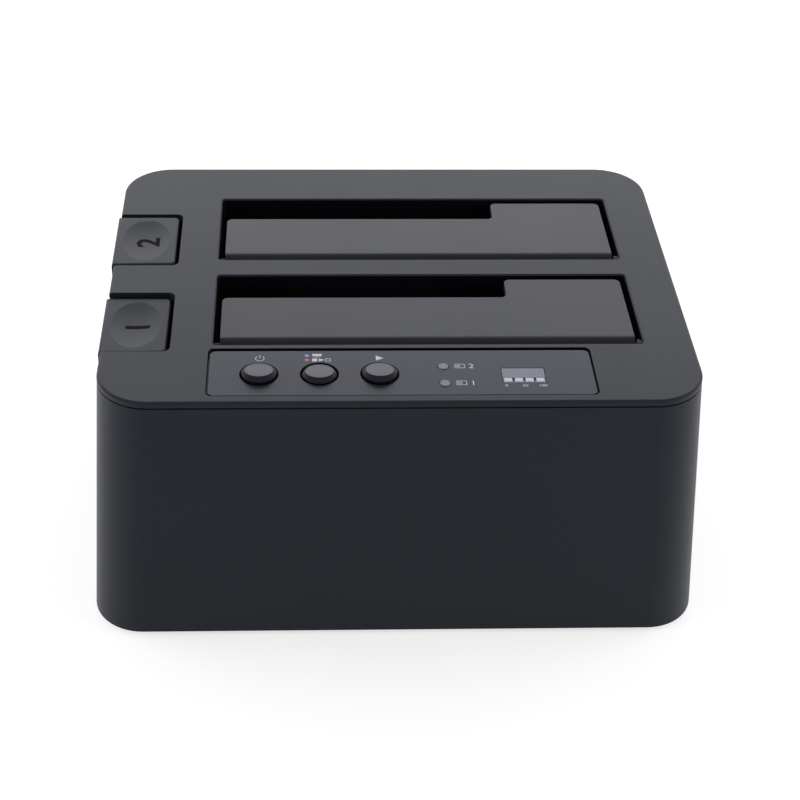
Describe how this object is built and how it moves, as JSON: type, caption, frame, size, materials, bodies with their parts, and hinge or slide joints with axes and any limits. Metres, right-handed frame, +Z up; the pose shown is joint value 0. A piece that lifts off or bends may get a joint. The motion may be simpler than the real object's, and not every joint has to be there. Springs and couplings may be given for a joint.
{
  "type": "drive duplicator",
  "caption": "Desktop hard drive duplicator dock with upright bays under sprung flap doors, eject buttons on the left edge and a front control panel.",
  "frame": {"origin": "centre of the footprint on the surface that the feet stand on", "axes": "+X towards the user's right, +Y to the back where the ports are, +Z up out of the drive bays"},
  "size_m": [0.149, 0.116, 0.0698],
  "materials": {
    "case_black": "fine spark-textured black plastic",
    "well_black": "matt black moulded plastic",
    "door_black": "satin black moulded plastic",
    "panel_grey": "smooth satin dark grey plastic",
    "button_gloss": "polished black plastic with a matt top",
    "lever_black": "matt black moulded plastic",
    "rubber_black": "soft matt rubber",
    "smoked_lens": "smoked translucent plastic",
    "bar_light": "pale diffusing plastic",
    "board_green": "green solder mask",
    "chip_black": "moulded chip package",
    "can_aluminium": "plain aluminium can",
    "switch_black": "moulded plastic",
    "led_white": "clear diode package",
    "connector_white": "natural nylon",
    "connector_black": "moulded black plastic",
    "ribbon_grey": "flat ribbon cable jacket",
    "port_metal": "plated steel shell",
    "screw_steel": "zinc-plated steel",
    "spring_steel": "blackened spring steel"
  },
  "bodies": {
    "case": {"main_housing": "case_black", "top_cover": "case_black", "bottom_cover": "case_black", "rubber_feet": "rubber_black", "case_screws": "screw_steel", "control_panel": "panel_grey", "progress_window": "smoked_lens", "progress_bars": "bar_light", "main_board": "board_green", "control_board": "board_green", "push_switches": "switch_black", "indicator_leds": "led_white", "cable_headers": "connector_white", "ribbon_cable": "ribbon_grey", "board_chips": "chip_black", "capacitors": "can_aluminium", "board_screws": "screw_steel", "panel_board_screws": "screw_steel", "lever_pins": "spring_steel", "power_jack": "connector_black", "usb_port": "port_metal", "esata_port": "connector_black", "bay_well_1": "well_black", "door_spring_1": "spring_steel", "drive_connector_1": "connector_black", "eject_spring_1": "spring_steel", "led_lens_1": "smoked_lens", "bay_well_2": "well_black", "door_spring_2": "spring_steel", "drive_connector_2": "connector_black", "eject_spring_2": "spring_steel", "led_lens_2": "smoked_lens"},
    "door_1": {"bay_door_1": "door_black"},
    "ejector_1": {"eject_button_1": "case_black"},
    "lever_1": {"eject_lever_1": "lever_black"},
    "door_2": {"bay_door_2": "door_black"},
    "ejector_2": {"eject_button_2": "case_black"},
    "lever_2": {"eject_lever_2": "lever_black"},
    "power_button": {"power_button": "button_gloss"},
    "mode_button": {"mode_button": "button_gloss"},
    "start_button": {"start_button": "button_gloss"}
  },
  "joints": [
    {"name": "door_1_swing", "type": "hinge", "parent": "case", "child": "door_1", "pos_m": [0.0073, -0.0291, 0.066], "axis": [-1, 0, 0], "range_deg": [0, 90], "stiffness_Nm_per_rad": 0.004, "springref_deg": -20.05, "deforming": ["door_spring_1"]},
    {"name": "eject_1_press", "type": "slide", "parent": "case", "child": "ejector_1", "axis": [0, 0, -1], "range_m": [0, 0.005], "stiffness_N_per_m": 400, "springref_m": -0.002, "deforming": ["eject_spring_1"]},
    {"name": "lever_1_rock", "type": "hinge", "parent": "case", "child": "lever_1", "pos_m": [-0.05, -0.0159, 0.011], "axis": [0, -1, 0], "range_deg": [0, 23.5]},
    {"name": "door_2_swing", "type": "hinge", "parent": "case", "child": "door_2", "pos_m": [0.0073, 0.009, 0.066], "axis": [-1, 0, 0], "range_deg": [0, 90], "stiffness_Nm_per_rad": 0.004, "springref_deg": -20.05, "deforming": ["door_spring_2"]},
    {"name": "eject_2_press", "type": "slide", "parent": "case", "child": "ejector_2", "axis": [0, 0, -1], "range_m": [0, 0.005], "stiffness_N_per_m": 400, "springref_m": -0.002, "deforming": ["eject_spring_2"]},
    {"name": "lever_2_rock", "type": "hinge", "parent": "case", "child": "lever_2", "pos_m": [-0.05, 0.0222, 0.011], "axis": [0, -1, 0], "range_deg": [0, 23.5]},
    {"name": "power_press", "type": "slide", "parent": "case", "child": "power_button", "axis": [0, 0, -1], "range_m": [0, 0.0012], "stiffness_N_per_m": 600, "springref_m": -0.0006},
    {"name": "mode_press", "type": "slide", "parent": "case", "child": "mode_button", "axis": [0, 0, -1], "range_m": [0, 0.0012], "stiffness_N_per_m": 600, "springref_m": -0.0006},
    {"name": "start_press", "type": "slide", "parent": "case", "child": "start_button", "axis": [0, 0, -1], "range_m": [0, 0.0012], "stiffness_N_per_m": 600, "springref_m": -0.0006}
  ],
  "couplings": [
    {"joint": "lever_1_rock", "follows": "eject_1_press", "rad_per_m": 82.03},
    {"joint": "lever_2_rock", "follows": "eject_2_press", "rad_per_m": 82.03}
  ]
}
